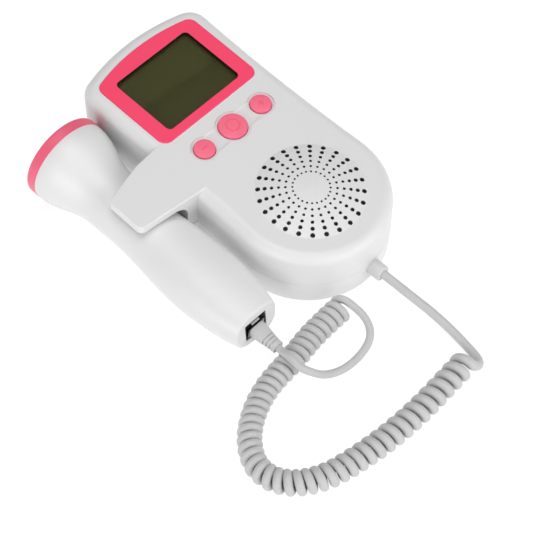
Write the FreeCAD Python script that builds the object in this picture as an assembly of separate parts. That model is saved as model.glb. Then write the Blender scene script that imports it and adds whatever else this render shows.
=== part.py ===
import FreeCAD, Part
import math
import os

# Fetal doppler: a hand unit with a display and a loudspeaker, a probe held in a
# side clip, and a curly lead from the unit to a modular plug in the probe.
# Everything is modelled about the loudspeaker's axis, Z up from the base, +Y towards
# the display end, and moved to the object's own frame at the end.
# All lengths in millimetres, angles in degrees.

V = FreeCAD.Vector

# ---- driving dimensions ----
# hand unit, plan
end_radius = 37.5        # round end beside the loudspeaker
end_centre_y = 1.85
end_join_angle = 3.2     # where the round end meets the side
side_radius = 1050.0     # the sides are slightly waisted
crown_y = 116.2          # top of the arched display end
crown_radius = 102.0
corner_radius = 10.0
# hand unit, heights
face_tilt = 4.45         # the face rises towards the display
face_height = 34.4       # height of the face plane over the loudspeaker axis
seam_height = 14.3
seam_bevel = 0.3
face_edge_radius = 5.0
face_inner_radius = 3.0
base_edge_radius = 2.2
base_draft = 0.6
wall = 2.2
face_wall = 2.4
floor_wall = 2.4
lip_height = 1.6         # alignment lip of the rear cover inside the front cover
lip_thick = 1.1
lip_gap = 0.1

# loudspeaker and grille
speaker_y = 0.24
dome_radius = 25.0       # raised loudspeaker dome
dome_rise = 3.13
dome_wall = 2.2
grille_spokes = 24
grille_rings = (8.43, 11.44, 14.46, 17.47, 20.49, 23.50)
grille_holes = (1.00, 1.20, 1.35, 1.60, 1.90, 2.20)
speaker_radius = 25.0
speaker_flange = 1.6
speaker_depth = 15.8     # flange to the back of the magnet
basket_height = 6.0
magnet_radius = 10.0
magnet_height = 5.0
guard_gap = 0.3          # between the loudspeaker and the ring round it
guard_wall = 1.9
guard_height = 5.4

# display
bezel_half = 29.8
bezel_low = 61.3
bezel_margin = 6.6       # bezel to the unit's crown
bezel_crown_radius = 100.0
bezel_corner = 4.6
bezel_rise = 0.3
bezel_depth = 1.5
bezel_gap = 0.1
window_half = 22.4
window_low = 65.8
window_margin = 8.4      # window to the bezel's crown
window_corner = 2.4
lens_drop = 0.9
lens_margin = 2.5
lens_flange = 1.0
panel_margin = 1.4
panel_thick = 1.8
holder_height = 4.6
holder_lip = 1.5

# main board
board_half = 25.5
board_low = 34.0
board_margin = 7.6       # board to the unit's crown
board_thick = 1.6
board_post_radius = 1.8
board_post_x = 22.5

# buttons
button_y = 48.4
side_button_x = 17.9
side_button_radius = 5.0
centre_button_radius = 6.75
button_gap = 0.3
button_rise = 0.9
button_edge = 0.4
button_crown = 0.35      # the caps are a little domed
icon_depth = 0.36        # signs sunk into the caps
icon_line = 0.6
ring_icon_radius = 3.1
sign_icon_half = 1.6
button_travel = 0.7
button_flange = 1.0
flange_margin = 1.1
recess_depth = 0.7
recess_margin = 1.5
recess_band_half = 5.4
recess_blend = 3.0
recess_foot = 0.5        # round at the foot of its wall
switch_height = 3.4
switch_half = 3.0
plunger_radius = 1.7

# clip on the side of the unit: the arm over the probe and the jaw under it
arm_root_low = 33.2
arm_root_high = 64.2
arm_tip_low = 37.2
arm_tip_high = 57.6
arm_reach = 10.0         # past the probe's axis
arm_tip_radius = 3.0
arm_edge_radius = 0.6
jaw_height = 0.8         # underside of the jaw over the base
jaw_reach = 3.1
jaw_inset = 1.0          # the jaw is a little narrower than the arm
arm_bury = 7.5           # both start this far inside the unit's side
clip_back = 16.2         # clip opening about the probe's axis
clip_up = 13.9
clip_down = 13.5
clip_corner = 8.0

# probe, along its own axis from the head towards the socket
probe_gap = 0.72         # ring to the unit's side
probe_head_y = 98.8
probe_head_z = 24.5
probe_tilt = 4.9
# distance from the head, half width, half depth, squareness of the section
probe_stations = (
    (3.5, 20.60, 20.60, 2.0), (8.0, 20.45, 20.40, 2.0), (12.0, 19.60, 19.50, 2.0),
    (16.0, 18.30, 18.10, 2.0), (20.0, 16.85, 16.40, 2.0), (25.0, 15.35, 14.60, 2.0),
    (32.0, 14.65, 13.40, 2.0), (42.0, 14.35, 12.85, 2.0), (56.0, 14.60, 12.60, 2.05),
    (72.0, 16.20, 12.60, 2.1), (88.0, 17.20, 12.60, 2.2), (104.0, 15.90, 11.80, 2.35),
    (113.0, 14.40, 10.90, 2.5), (119.0, 12.90, 10.10, 2.6), (124.0, 11.00, 9.30, 2.7))
probe_end = 121.75       # on the axis; the end face leans back, away from the lead
end_slope = 8.5
end_edge = 1.2
probe_wall = 2.0
probe_seam = -5.0        # height of the shells' seam in the probe's frame
seam_groove = 0.3        # width and depth of the shadow line along it
ring_radius = 20.75
ring_front = 2.2         # ring's front edge ahead of the head's reference plane
ring_edge = 1.6
tongue_radius = 18.3
tongue_length = 3.5
lens_radius = 17.4
lens_gap = 0.05
lens_dome = 0.7
disc_radius = 11.5
disc_thick = 1.2
backing_radius = 16.8
backing_thick = 6.6
probe_board_half = 8.5
probe_board_thick = 1.4
probe_board_span = (-94.0, -46.0)
probe_screw_ys = (-34.0, -100.0)

# screws
screw_head = 2.5
screw_head_height = 1.7
screw_shank = 1.1
screw_hole_gap = 0.05
boss_radius = 3.2
post_radius = 3.9
low_screw_x = 29.0
low_screw_y = 13.0
high_screw_x = 29.5
high_screw_margin = 19.2   # upper screws to the unit's crown

# batteries, their bay and the door under it
battery_radius = 7.1
battery_length = 49.2
battery_nub = 1.2
battery_side = 0.8       # cell to the middle of the bay and to its wall
battery_lift = 1.1       # door to cell
battery_head = 0.4       # cell to the bay's roof
bay_low = 40.0
bay_wall = 1.5
spring_room = 3.6
contact_room = 4.0
door_margin = 1.6
door_thick = 2.0
door_lap = 4.0           # door beyond the bay at its closed end
door_gap = 0.25
rail_depth = 1.4
rail_low = 1.0

# socket and modular plug at the probe's lower end
socket_width = 12.6
socket_height = 10.8
socket_side = -0.5
socket_rise = 0.3        # middle of the mouth over the probe's axis
jack_wall = 1.1
jack_length = 14.2
jack_gap = 0.3
nose_gap = 0.1           # socket's nose in the mouth of the shells
nose_drop = 0.5          # and its face under the end of the shells
plug_rise = -1.0         # plug's axis over the probe's axis
plug_width = 9.65
plug_height = 6.6
plug_length = 12.3
plug_out = 0.25
contact_count = 6
contact_pitch = 1.02
latch_half = 2.6
latch_rise = 1.65
boot_length = 13.2
boot_droop = 1.5
boot_step = 0.9          # plug's side to the boot's
boot_wall = 0.9          # round the lead at its tip
boot_grooves = 3
groove_first = 2.5       # from the tip
groove_pitch = 1.75
groove_width = 0.7

# lead
lead_diameter = 3.9
coil_diameter = 11.6
coil_z = coil_diameter / 2
relief_x = 2.0
relief_z = 10.5
relief_radius = 3.8
relief_length = 6.65     # outside the cover
relief_flange = 5.0
relief_flange_thick = 1.25
tail_diameter = 3.4

# centre line of the lead to the coil, past the straight stretch out of the relief
relief_run = 6.5
lead_a_route = ((2.5, -58.0, 9.1), (3.5, -68.0, 7.3), (3.7, -78.0, 5.4), (3.4, -86.0, 3.8),
                (2.6, -92.4, 3.0), (1.2, -97.4, 3.8), (-1.3, -100.0, coil_z), (-5.7, -100.35, coil_z))
# curly stretch, centre line in plan
coil_path = ((-6.0, -96.5), (-21.0, -97.6), (-38.5, -98.4), (-56.0, -97.7), (-74.0, -95.2), (-90.0, -91.2),
             (-102.0, -82.0), (-105.6, -69.5), (-99.4, -57.6), (-88.0, -48.8), (-73.5, -43.3), (-56.5, -42.1),
             (-38.5, -39.0), (-21.3, -39.1))
# centre line of the lead from the coil, over the coil and up to the straight stretch into the plug's boot
boot_run = 2.2
lead_b_route = ((-22.6, -35.5, 7.0), (-18.9, -36.0, 9.3), (-16.4, -39.6, 9.9), (-16.1, -45.0, 8.2),
                (-18.6, -51.5, 6.1), (-23.8, -58.2, 4.2), (-31.0, -60.7, 2.8), (-38.5, -60.7, 2.2),
                (-45.5, -59.2, 2.9), (-51.6, -56.8, 4.9), (-55.6, -55.4, 9.1), (-60.1, -50.7, 13.0),
                (-59.9, -45.5, 13.6), (-59.7, -42.7, 12.8))
# lead inside the unit, from its relief to the board
tail_gap = 0.05
inner_route = ((2.0, -20.0, 10.3), (-0.4, -5.0, 9.6), (-4.0, 10.0, 11.2), (-6.4, 22.5, 16.6),
               (-7.0, 30.0, 23.2), (-7.0, 36.6, 24.6))

# ---- sizes that follow from these ----
# middle of the circle that the unit's side follows, and the side's distance from the axis at the probe's head
side_centre = ((end_radius + side_radius) * math.cos(math.radians(end_join_angle)),
               end_centre_y + (end_radius + side_radius) * math.sin(math.radians(end_join_angle)))
side_half = side_centre[0] - math.sqrt(side_radius ** 2 - (probe_head_y - side_centre[1]) ** 2)
probe_at = (-(side_half + probe_gap + ring_radius), probe_head_y, probe_head_z)
# the object's frame: middle of the unit and probe, on the base
home_x = (ring_radius - probe_at[0] - end_radius) / 2
home_y = -(crown_y + end_centre_y - end_radius) / 2
# what keeps its distance from the crown
bezel_crown = crown_y - bezel_margin
window_high = bezel_crown - window_margin
board_high = crown_y - board_margin
board_post_ys = (board_low + 3.0, board_high - 2.3)
cover_screw_places = [(side * x, y) for x, y in ((low_screw_x, low_screw_y),
                                                 (high_screw_x, crown_y - high_screw_margin))
                      for side in (-1, 1)]
# levels under the face
lens_floor = -bezel_depth - lens_flange
panel_floor = lens_floor - panel_thick
board_top = panel_floor - holder_height
board_floor = board_top - board_thick
switch_top = board_top + switch_height
cap_floor = -face_wall - button_gap / 2 - button_flange
speaker_floor = -face_wall - speaker_flange
basket_floor = speaker_floor - basket_height
magnet_top = basket_floor - 1.4
# batteries, bay and door
cell_x = battery_radius + battery_side
bay_half = cell_x + battery_radius + battery_side
cell_z = door_thick + battery_lift + battery_radius
bay_roof = cell_z + battery_radius + battery_head
cell_low = bay_low + spring_room
bay_high = cell_low + battery_length + battery_nub + contact_room
door_half = bay_half + door_margin
door_low = bay_low - door_lap
# along the probe
probe_screw_seat = probe_seam - 4.4
ring_joint = probe_stations[0][0]
plug_start = -(probe_end + plug_out)
# where the lead leaves the relief, and where the relief's flange bears on the wall
relief_end = end_centre_y - end_radius - relief_length
relief_seat = end_centre_y - math.sqrt((end_radius - wall) ** 2 - (relief_x + relief_flange) ** 2) + 0.05


# ---- helpers ----
def box(x0, x1, y0, y1, z0, z1):
    return Part.makeBox(x1 - x0, y1 - y0, z1 - z0, V(x0, y0, z0))


def rod(x, y, z, radius, height, direction=V(0, 0, 1)):
    return Part.makeCylinder(radius, height, V(x, y, z), direction)


def rod_y(x, y, z, radius, length):
    return rod(x, y, z, radius, length, V(0, 1, 0))


def cone(x, y, z, low, high, height):
    return Part.makeCone(low, high, height, V(x, y, z), V(0, 0, 1))


def fuse(first, *others):
    return first.fuse(list(others)).removeSplitter() if others else first


def cut(first, *others):
    return first.cut(list(others))


def line(a, b):
    return Part.LineSegment(V(*a), V(*b)).toShape()


def arc(a, b, c):
    return Part.Arc(V(*a), V(*b), V(*c)).toShape()


def polygon(points, z=0.0):
    ring = [V(p[0], p[1], z) for p in points]
    return Part.Face(Part.makePolygon(ring + [ring[0]]))


def raise_up(face, height):
    return face.extrude(V(0, 0, height))


def upright_edges(body):
    return [edge for edge in body.Edges
            if edge.BoundBox.XLength < 1e-5 and edge.BoundBox.YLength < 1e-5 and edge.BoundBox.ZLength > 1e-3]


def edges_at_height(body, z):
    return [edge for edge in body.Edges
            if abs(edge.BoundBox.ZMin - z) < 0.01 and abs(edge.BoundBox.ZMax - z) < 0.01]


def round_edges(body):
    return [edge for edge in body.Edges if edge.Curve.TypeId == "Part::GeomCircle"]


def slab(x0, x1, y0, y1, z0, z1, radius):
    body = box(x0, x1, y0, y1, z0, z1)
    return body.makeFillet(radius, upright_edges(body))


def bar_y(x, z, width, height, y0, y1, radius):
    """A bar along Y with rounded long edges."""
    body = box(x - width / 2, x + width / 2, y0, y1, z - height / 2, z + height / 2)
    return body.makeFillet(radius, [e for e in body.Edges if e.BoundBox.YLength > y1 - y0 - 0.01])


def on_face(shape):
    """Moves a shape from the face's own frame (Z out of the face) onto the unit."""
    moved = shape.copy()
    moved.rotate(V(0, 0, 0), V(1, 0, 0), face_tilt)
    moved.translate(V(0, 0, face_height))
    return moved


def off_face(shape):
    moved = shape.copy()
    moved.translate(V(0, 0, -face_height))
    moved.rotate(V(0, 0, 0), V(1, 0, 0), -face_tilt)
    return moved


def on_probe(shape):
    """Moves a shape from the probe's own frame (head towards +Y) to its place in the clip."""
    moved = shape.copy()
    moved.rotate(V(0, 0, 0), V(1, 0, 0), probe_tilt)
    moved.translate(V(*probe_at))
    return moved


def on_boot_axis(distance):
    """The point on the boot's drooping axis at a distance from the plug."""
    droop = math.radians(boot_droop)
    tip = on_probe(Part.Vertex(V(socket_side, plug_start - distance * math.cos(droop),
                                 plug_rise - distance * math.sin(droop))))
    return tuple(tip.Point)


def tube(points, radius, name):
    """Straight runs joined by tangent arcs, each arc as large as its two runs allow."""
    route = [V(*p) for p in points]
    runs = [route[i + 1] - route[i] for i in range(len(route) - 1)]
    lengths = [run.Length for run in runs]
    edges = []
    radii = []
    start = route[0]
    for i in range(1, len(route) - 1):
        turn = runs[i - 1].getAngle(runs[i])
        trim = 0.45 * min(lengths[i - 1], lengths[i])
        bend = trim / math.tan(turn / 2)
        radii.append(bend)
        before = V(runs[i - 1]).normalize()
        after = V(runs[i]).normalize()
        a = route[i] - before * trim
        b = route[i] + after * trim
        inward = (after - before).normalize()
        middle = route[i] + inward * (bend / math.cos(turn / 2) - bend)
        edges.append(Part.LineSegment(start, a).toShape())
        edges.append(Part.Arc(a, middle, b).toShape())
        start = b
    edges.append(Part.LineSegment(start, route[-1]).toShape())
    path = Part.Wire(edges)
    ring = Part.Wire([Part.makeCircle(radius, route[0], runs[0])])
    solid = path.makePipeShell([ring], True, False)
    swept = math.pi * radius * radius * path.Length
    print(name, "length %.1f" % path.Length, "volume ratio %.4f" % (solid.Volume / swept))
    print(name, "bend radii", " ".join("%.1f" % value for value in radii))
    print(name, "runs", " ".join("%.1f" % value for value in lengths))
    return solid


# ---- hand unit ----
def towards(start, target, distance):
    """The point at a distance from start on the line through target."""
    span = math.hypot(target[0] - start[0], target[1] - start[1])
    return (start[0] + (target[0] - start[0]) * distance / span,
            start[1] + (target[1] - start[1]) * distance / span)


def upper_meeting(first, first_radius, second, second_radius):
    """The upper point where two circles cross."""
    span = math.hypot(second[0] - first[0], second[1] - first[1])
    along = (first_radius ** 2 - second_radius ** 2 + span ** 2) / (2 * span)
    across = math.sqrt(first_radius ** 2 - along ** 2)
    x, y = towards(first, second, along)
    return (x - (second[1] - first[1]) * across / span, y + (second[0] - first[0]) * across / span)


def unit_wire(inset, z):
    """Round end, waisted sides and an arched display end with rounded corners, all tangent."""
    end = (0, end_centre_y)
    side = side_centre
    crown = (0, crown_y - crown_radius)
    corner = upper_meeting(crown, crown_radius - corner_radius, side, side_radius + corner_radius)
    join = towards(end, side, end_radius - inset)
    side_top = towards(side, corner, side_radius + inset)
    side_mid = towards(side, ((join[0] + side_top[0]) / 2, (join[1] + side_top[1]) / 2), side_radius + inset)
    crown_end = towards(crown, corner, crown_radius - inset)
    bend = ((side_top[0] + crown_end[0]) / 2, (side_top[1] + crown_end[1]) / 2)
    corner_mid = towards(corner, bend, corner_radius - inset)
    right = [join, side_mid, side_top, corner_mid, crown_end]
    left = [(-x, y) for x, y in right]
    ring = left[:1] + [(0, end_centre_y - end_radius + inset)] + right + [(0, crown_y - inset)]
    ring += left[:0:-1] + left[:1]
    points = [(x, y, z) for x, y in ring]
    return Part.Wire([arc(*points[i:i + 3]) for i in range(0, len(points) - 1, 2)])


def unit_prism(inset, z0, z1):
    return raise_up(Part.Face(unit_wire(inset, z0)), z1 - z0)


def above_face(level):
    """Everything on the outer side of a plane parallel to the face."""
    return on_face(box(-120, 120, -80, 180, level, level + 60))


def face_edges(body, level):
    """Edges of a body that lie in a plane parallel to the face."""
    found = []
    for edge in body.Edges:
        bounds = off_face(edge).BoundBox
        if abs(bounds.ZMin - level) < 0.02 and abs(bounds.ZMax - level) < 0.02:
            found.append(edge)
    return found


def dome(inset, radius):
    """Shallow spherical dome over the loudspeaker, in the face's frame."""
    ball_radius = (dome_radius ** 2 + dome_rise ** 2) / (2 * dome_rise)
    ball = Part.makeSphere(ball_radius - inset, V(0, speaker_y, dome_rise - ball_radius))
    return ball.common(rod(0, speaker_y, -face_wall - 0.6, radius, dome_rise + face_wall + 2))


def clip_space():
    """The space the probe lies in, open to the side, along the probe's axis."""
    far = -probe_at[1] - 20
    near = arm_root_high - probe_at[1] + 15
    section = box(-40, clip_back, far, near, -clip_down, clip_up)
    inner = [edge for edge in section.Edges
             if edge.BoundBox.XMin > clip_back - 0.01 and edge.BoundBox.YLength > 10]
    return on_probe(section.makeFillet(clip_corner, inner))


def rounded_plate(points, z0, z1, edge_radius, rim_height):
    """A plate with rounded tips, its rim rounded at one height away from the unit's side."""
    plate = raise_up(polygon(points, z0), z1 - z0)
    tips = [edge for edge in upright_edges(plate) if edge.BoundBox.XMin < min(p[0] for p in points) + 1]
    plate = plate.makeFillet(arm_tip_radius, tips)
    rim = [edge for edge in edges_at_height(plate, rim_height) if edge.BoundBox.XMin < -end_radius + 1]
    return plate.makeFillet(edge_radius, rim)


def arm():
    """The arm over the probe, level with the face."""
    axis_x = probe_at[0]
    root = -end_radius + arm_bury
    slope = (arm_root_high - arm_tip_high) / 4
    outline = ((root, arm_root_low), (axis_x - arm_reach, arm_tip_low), (axis_x - arm_reach, arm_tip_high),
               (axis_x, arm_tip_high + slope * 1.5), (axis_x + 12, arm_root_high - slope * 0.8),
               (root, arm_root_high))
    block = on_face(rounded_plate(outline, seam_height - face_height - 14, 0, arm_edge_radius, 0))
    return cut(block, clip_space(), box(-90, 0, 0, 90, -10, seam_height))


def jaw():
    """The shorter jaw under the probe, part of the rear cover."""
    tip = probe_at[0] - jaw_reach
    root = -end_radius + arm_bury
    outline = ((root, arm_root_low + jaw_inset), (tip, arm_tip_low + jaw_inset), (tip, arm_tip_high),
               (tip + 7, arm_tip_high + 2), (root, arm_root_high - jaw_inset))
    return rounded_plate(outline, jaw_height, seam_height, arm_edge_radius, jaw_height).cut(clip_space())


def bezel_block(grow, z0, z1):
    half = bezel_half + grow
    low = bezel_low - grow
    crown = bezel_crown + grow
    reach = bezel_crown_radius + grow
    side = crown - reach + math.sqrt(reach * reach - half * half)
    edges = [line((-half, low, z0), (half, low, z0)), line((half, low, z0), (half, side, z0)),
             arc((half, side, z0), (0, crown, z0), (-half, side, z0)),
             line((-half, side, z0), (-half, low, z0))]
    block = raise_up(Part.Face(Part.Wire(edges)), z1 - z0)
    return block.makeFillet(bezel_corner + grow, upright_edges(block))


def window_block(grow, z0, z1, radius):
    half = window_half + grow
    return slab(-half, half, window_low - grow, window_high + grow, z0, z1, radius)


def button_places():
    return ((-side_button_x, side_button_radius), (0.0, centre_button_radius),
            (side_button_x, side_button_radius))


def button_recess():
    """One shallow recess round the three buttons, narrower between them."""
    top = bezel_depth
    rings = [rod(x, button_y, -recess_depth, radius + recess_margin, recess_depth + top)
             for x, radius in button_places()]
    band = box(-side_button_x, side_button_x, button_y - recess_band_half, button_y + recess_band_half,
               -recess_depth, top)
    recess = fuse(band, *rings)
    necks = [edge for edge in upright_edges(recess) if abs(edge.BoundBox.XMin) < side_button_x]
    recess = recess.makeFillet(recess_blend, necks)
    return recess.makeFillet(recess_foot, edges_at_height(recess, -recess_depth))


def grille_cutters():
    holes = []
    for ring, size in zip(grille_rings, grille_holes):
        for spoke in range(grille_spokes):
            angle = math.radians(360.0 * spoke / grille_spokes)
            x = ring * math.cos(angle)
            y = speaker_y + ring * math.sin(angle)
            holes.append(rod(x, y, speaker_floor, size / 2, 14))
    return Part.makeCompound(holes)


def relief_notch():
    return rod_y(relief_x, end_centre_y - end_radius - 2, relief_z, relief_radius + 0.05, 8)


def board_posts(radius, low, high):
    return [on_face(rod(x, y, low, radius, high - low)) for x in (-board_post_x, board_post_x)
            for y in board_post_ys]


def front_cover():
    tall = face_height + crown_y * math.tan(math.radians(face_tilt)) + 5
    body = unit_prism(0, seam_height, tall).cut(above_face(0))
    body = body.makeFillet(face_edge_radius, face_edges(body, 0))
    body = fuse(body, arm())
    body = fuse(body, on_face(dome(0, dome_radius)))
    hollow = unit_prism(wall, seam_height - 1, tall).cut(above_face(-face_wall))
    hollow = hollow.makeFillet(face_inner_radius, face_edges(hollow, -face_wall))
    body = body.cut(hollow)
    body = body.cut(on_face(dome(dome_wall, dome_radius - 1.2)))
    # ring round the loudspeaker, screw bosses and board posts inside
    guard_inner = speaker_radius + guard_gap
    guard = cut(rod(0, speaker_y, -face_wall - guard_height + 0.3, guard_inner + guard_wall, guard_height),
                rod(0, speaker_y, -face_wall - guard_height, guard_inner, guard_height + 1))
    inside = unit_prism(wall / 2, seam_height, tall).cut(above_face(0.3 - face_wall))
    bosses = [rod(x, y, seam_height + 0.2, boss_radius, tall).common(inside) for x, y in cover_screw_places]
    posts = board_posts(board_post_radius, board_top, 0.3 - face_wall)
    body = fuse(body, on_face(guard), *(bosses + posts))
    # pockets and openings
    body = cut(body, on_face(bezel_block(bezel_gap, -bezel_depth, 3)),
               on_face(window_block(lens_margin + 0.3, lens_floor - 2, 0, 0.8)),
               on_face(button_recess()), on_face(grille_cutters()), relief_notch())
    holes = [on_face(rod(x, button_y, lens_floor - 2, radius + button_gap, 9))
             for x, radius in button_places()]
    pilots = [rod(x, y, seam_height - 1, screw_shank + screw_hole_gap, 12.5) for x, y in cover_screw_places]
    pilots += board_posts(0.8 + screw_hole_gap, board_top - 1, board_top + 3.6)
    return cut(body, *(holes + pilots))


def rear_outer():
    body = Part.makeLoft([unit_wire(base_draft, 0), unit_wire(0, seam_height)], True, True)
    body = body.makeFillet(base_edge_radius, edges_at_height(body, 0))
    return body.makeChamfer(seam_bevel, edges_at_height(body, seam_height))


def door_body(gap):
    """The battery door's slab with its two side rails; gap widens it into the cover's track."""
    half = door_half + gap
    plate = box(-half, half, door_low - gap, crown_y + 9, -1 if gap else 0, door_thick + gap)
    rails = box(-half - rail_depth, half + rail_depth, door_low + 6 - gap, crown_y + 9,
                rail_low - gap, door_thick + gap)
    return plate.fuse(rails)


def lip():
    """Alignment lip that stands up inside the front cover's wall."""
    inner = unit_prism(wall + lip_gap + lip_thick, floor_wall, seam_height + lip_height + 1)
    rooted = unit_prism(wall - 0.3, seam_height - 3, seam_height)
    raised = unit_prism(wall + lip_gap, seam_height - 3, seam_height + lip_height)
    ring = fuse(rooted, raised).cut(inner)
    clear = [rod(x, y, seam_height, boss_radius + 1, 6) for x, y in cover_screw_places]
    clear.append(box(relief_x - 8, relief_x + 8, -60, 0, seam_height - 8, seam_height + 6))
    clear.append(box(-90, -20, arm_root_low, arm_root_high, seam_height, seam_height + 6))
    return cut(ring, *clear)


def rear_cover():
    body = rear_outer().cut(unit_prism(wall, floor_wall, seam_height + 1))
    frame = box(-door_half - door_lap, door_half + door_lap, door_low - 2.5, crown_y, 0.2, door_thick + 2)
    frame = frame.common(unit_prism(wall / 2, 0, 10))
    bay = box(-bay_half - bay_wall, bay_half + bay_wall, bay_low - bay_wall, bay_high + bay_wall,
              1.0, bay_roof + bay_wall)
    posts = [rod(x, y, 0.5, post_radius, seam_height - 0.5) for x, y in cover_screw_places]
    body = fuse(body, frame, bay, lip(), jaw(), *posts)
    body = cut(body, box(-bay_half, bay_half, bay_low, bay_high, -1, bay_roof), door_body(door_gap),
               relief_notch())
    seat = floor_wall + screw_head_height - 0.2
    for x, y in cover_screw_places:
        body = cut(body, rod(x, y, -1, screw_head + 0.4, 1 + seat),
                   rod(x, y, -1, screw_shank + 0.25, seam_height + 9))
    return body


def battery_door():
    plate = door_body(0).common(rear_outer())
    grips = [box(-9, 9, door_low + 8 + 2.4 * i, door_low + 9.2 + 2.4 * i, -0.5, 0.5) for i in range(6)]
    return cut(plate, *grips)


def battery(x):
    cell = rod_y(x, cell_low, cell_z, battery_radius, battery_length)
    cell = cell.makeFillet(0.6, round_edges(cell))
    return cell.fuse(rod_y(x, cell_low + battery_length, cell_z, 2.7, battery_nub))


def contact_plate(x, y):
    return box(x - 6.0, x + 6.0, y, y + 0.4, cell_z - 6.2, cell_z + 6.2)


def contact_springs():
    """Coil springs at the flat end of each cell, on one plate each."""
    wire_radius = 0.3
    coil_radius = 4.2
    reach = spring_room - 0.7 - 2 * wire_radius
    made = []
    for x in (-cell_x, cell_x):
        ring = Part.Wire([Part.makeCircle(wire_radius, V(coil_radius, 0, 0), V(0, 1, 0))])
        coil = Part.Wire(Part.makeHelix(0.9, reach, coil_radius).Edges).makePipeShell([ring], True, True)
        coil.rotate(V(0, 0, 0), V(1, 0, 0), -90)
        coil.translate(V(x, bay_low + 0.4 + wire_radius * 0.7, cell_z))
        made.append(contact_plate(x, bay_low).fuse(coil))
    return Part.makeCompound(made)


def contact_plates():
    made = []
    for x in (-cell_x, cell_x):
        tip_length = contact_room - 0.4 - 0.1
        tip = rod_y(x, bay_high - 0.4 - tip_length, cell_z, 1.6, tip_length)
        made.append(contact_plate(x, bay_high - 0.4).fuse(tip))
    return Part.makeCompound(made)


def screw(x, y, z, head, height, shank, length, slot_depth=0.8):
    """A cross-head screw, head down."""
    slots = [box(x - head * 0.64, x + head * 0.64, y - 0.3, y + 0.3, z - 1, z + slot_depth),
             box(x - 0.3, x + 0.3, y - head * 0.64, y + head * 0.64, z - 1, z + slot_depth)]
    return cut(rod(x, y, z, head, height), *slots).fuse(rod(x, y, z + height, shank, length))


def cover_screws():
    low = floor_wall - 0.2
    return Part.makeCompound([screw(x, y, low, screw_head, screw_head_height, screw_shank, 18.6)
                              for x, y in cover_screw_places])


# ---- parts under the face ----
def display_bezel():
    frame = bezel_block(0, -bezel_depth, bezel_rise)
    frame = frame.makeFillet(bezel_rise * 0.85, edges_at_height(frame, bezel_rise))
    return on_face(frame.cut(window_block(0, -bezel_depth - 1, bezel_rise + 1, window_corner)))


def display_lens():
    pane = window_block(-0.1, -bezel_depth - 0.1, -lens_drop, window_corner - 0.1)
    flange = window_block(lens_margin, lens_floor, -bezel_depth, 0.5)
    return on_face(fuse(pane, flange))


def display_panel():
    return on_face(window_block(panel_margin, panel_floor, lens_floor, 0.5))


def display_holder():
    frame = window_block(lens_margin, board_top, panel_floor, 0.5)
    return on_face(frame.cut(window_block(0, board_top + holder_lip, panel_floor + 1, 0.5)))


def main_board():
    board = box(-board_half, board_half, board_low, board_high, board_floor, board_top)
    holes = [rod(x, y, board_floor - 1, 1.0, board_thick + 2) for x in (-board_post_x, board_post_x)
             for y in board_post_ys]
    return on_face(cut(board, *holes))


def board_screws():
    return Part.makeCompound([on_face(screw(x, y, board_floor - 1.2, 1.7, 1.2, 0.8, board_thick + 3.2, 0.5))
                              for x in (-board_post_x, board_post_x) for y in board_post_ys])


def board_part(x0, x1, y0, y1, height):
    return box(x0, x1, y0, y1, board_floor - height, board_floor)


def board_parts():
    made = [board_part(-7, 7, 60, 74, 1.7), board_part(12, 17, 78, 84, 1.3),
            board_part(-20, -14, 62, 67, 1.1), board_part(10, 16, 44, 50, 2.1),
            board_part(-12, -2, 36, 41.5, 4.3), board_part(14, 22, 60, 65, 4.1)]
    made += [rod(x, 86, board_floor - 6, 2.6, 6) for x in (-17, -11)]
    return on_face(Part.makeCompound(made))


def switch_housings():
    made = []
    for x, radius in button_places():
        body = box(x - switch_half, x + switch_half, button_y - switch_half, button_y + switch_half,
                   board_top, switch_top)
        made.append(on_face(body.cut(rod(x, button_y, board_top + 1.2, plunger_radius + 0.4, switch_height))))
    return Part.makeCompound(made)


def icon_bar(x, half_x, half_y):
    return box(x - half_x, x + half_x, button_y - half_y, button_y + half_y,
               button_rise - icon_depth, button_rise + 1)


def ring_icon(x):
    low = button_rise - icon_depth
    return [cut(rod(x, button_y, low, ring_icon_radius + icon_line / 2, 1),
                rod(x, button_y, low - 1, ring_icon_radius - icon_line / 2, 3))]


def minus_icon(x):
    return [icon_bar(x, sign_icon_half, icon_line / 2)]


def plus_icon(x):
    return minus_icon(x) + [icon_bar(x, icon_line / 2, sign_icon_half)]


def button(x, radius, icon):
    """A domed cap with its sign sunk in, and a flange that keeps it under the face."""
    ball = (radius ** 2 + button_crown ** 2) / (2 * button_crown)
    cap = rod(x, button_y, cap_floor, radius, button_rise - cap_floor)
    cap = cap.common(Part.makeSphere(ball, V(x, button_y, button_rise - ball)))
    cap = cap.makeFillet(button_edge, edges_at_height(cap, button_rise - button_crown))
    flange = rod(x, button_y, cap_floor, radius + flange_margin, button_flange)
    return on_face(cut(fuse(cap, flange), *icon(x)))


def plunger(x):
    low = switch_top - button_travel - 0.2
    return on_face(rod(x, button_y, low, plunger_radius, cap_floor - low))


def speaker_frame():
    flange = cut(rod(0, speaker_y, speaker_floor, speaker_radius, speaker_flange),
                 rod(0, speaker_y, speaker_floor - 1, speaker_radius - 3, speaker_flange + 2))
    basket = cut(cone(0, speaker_y, basket_floor, speaker_radius / 2, speaker_radius - 1.4, basket_height),
                 cone(0, speaker_y, basket_floor + 0.6, speaker_radius / 2 - 1.2, speaker_radius - 3,
                      basket_height),
                 rod(0, speaker_y, basket_floor - 1, speaker_radius / 2 - 1.3, 3))
    openings = []
    for i in range(4):
        window = box(9, 30, speaker_y - 2.6, speaker_y + 2.6, basket_floor + 0.6, basket_floor + 4.6)
        window.rotate(V(0, speaker_y, 0), V(0, 0, 1), 45 + 90 * i)
        openings.append(window)
    return on_face(fuse(flange, cut(basket, *openings)))


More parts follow.
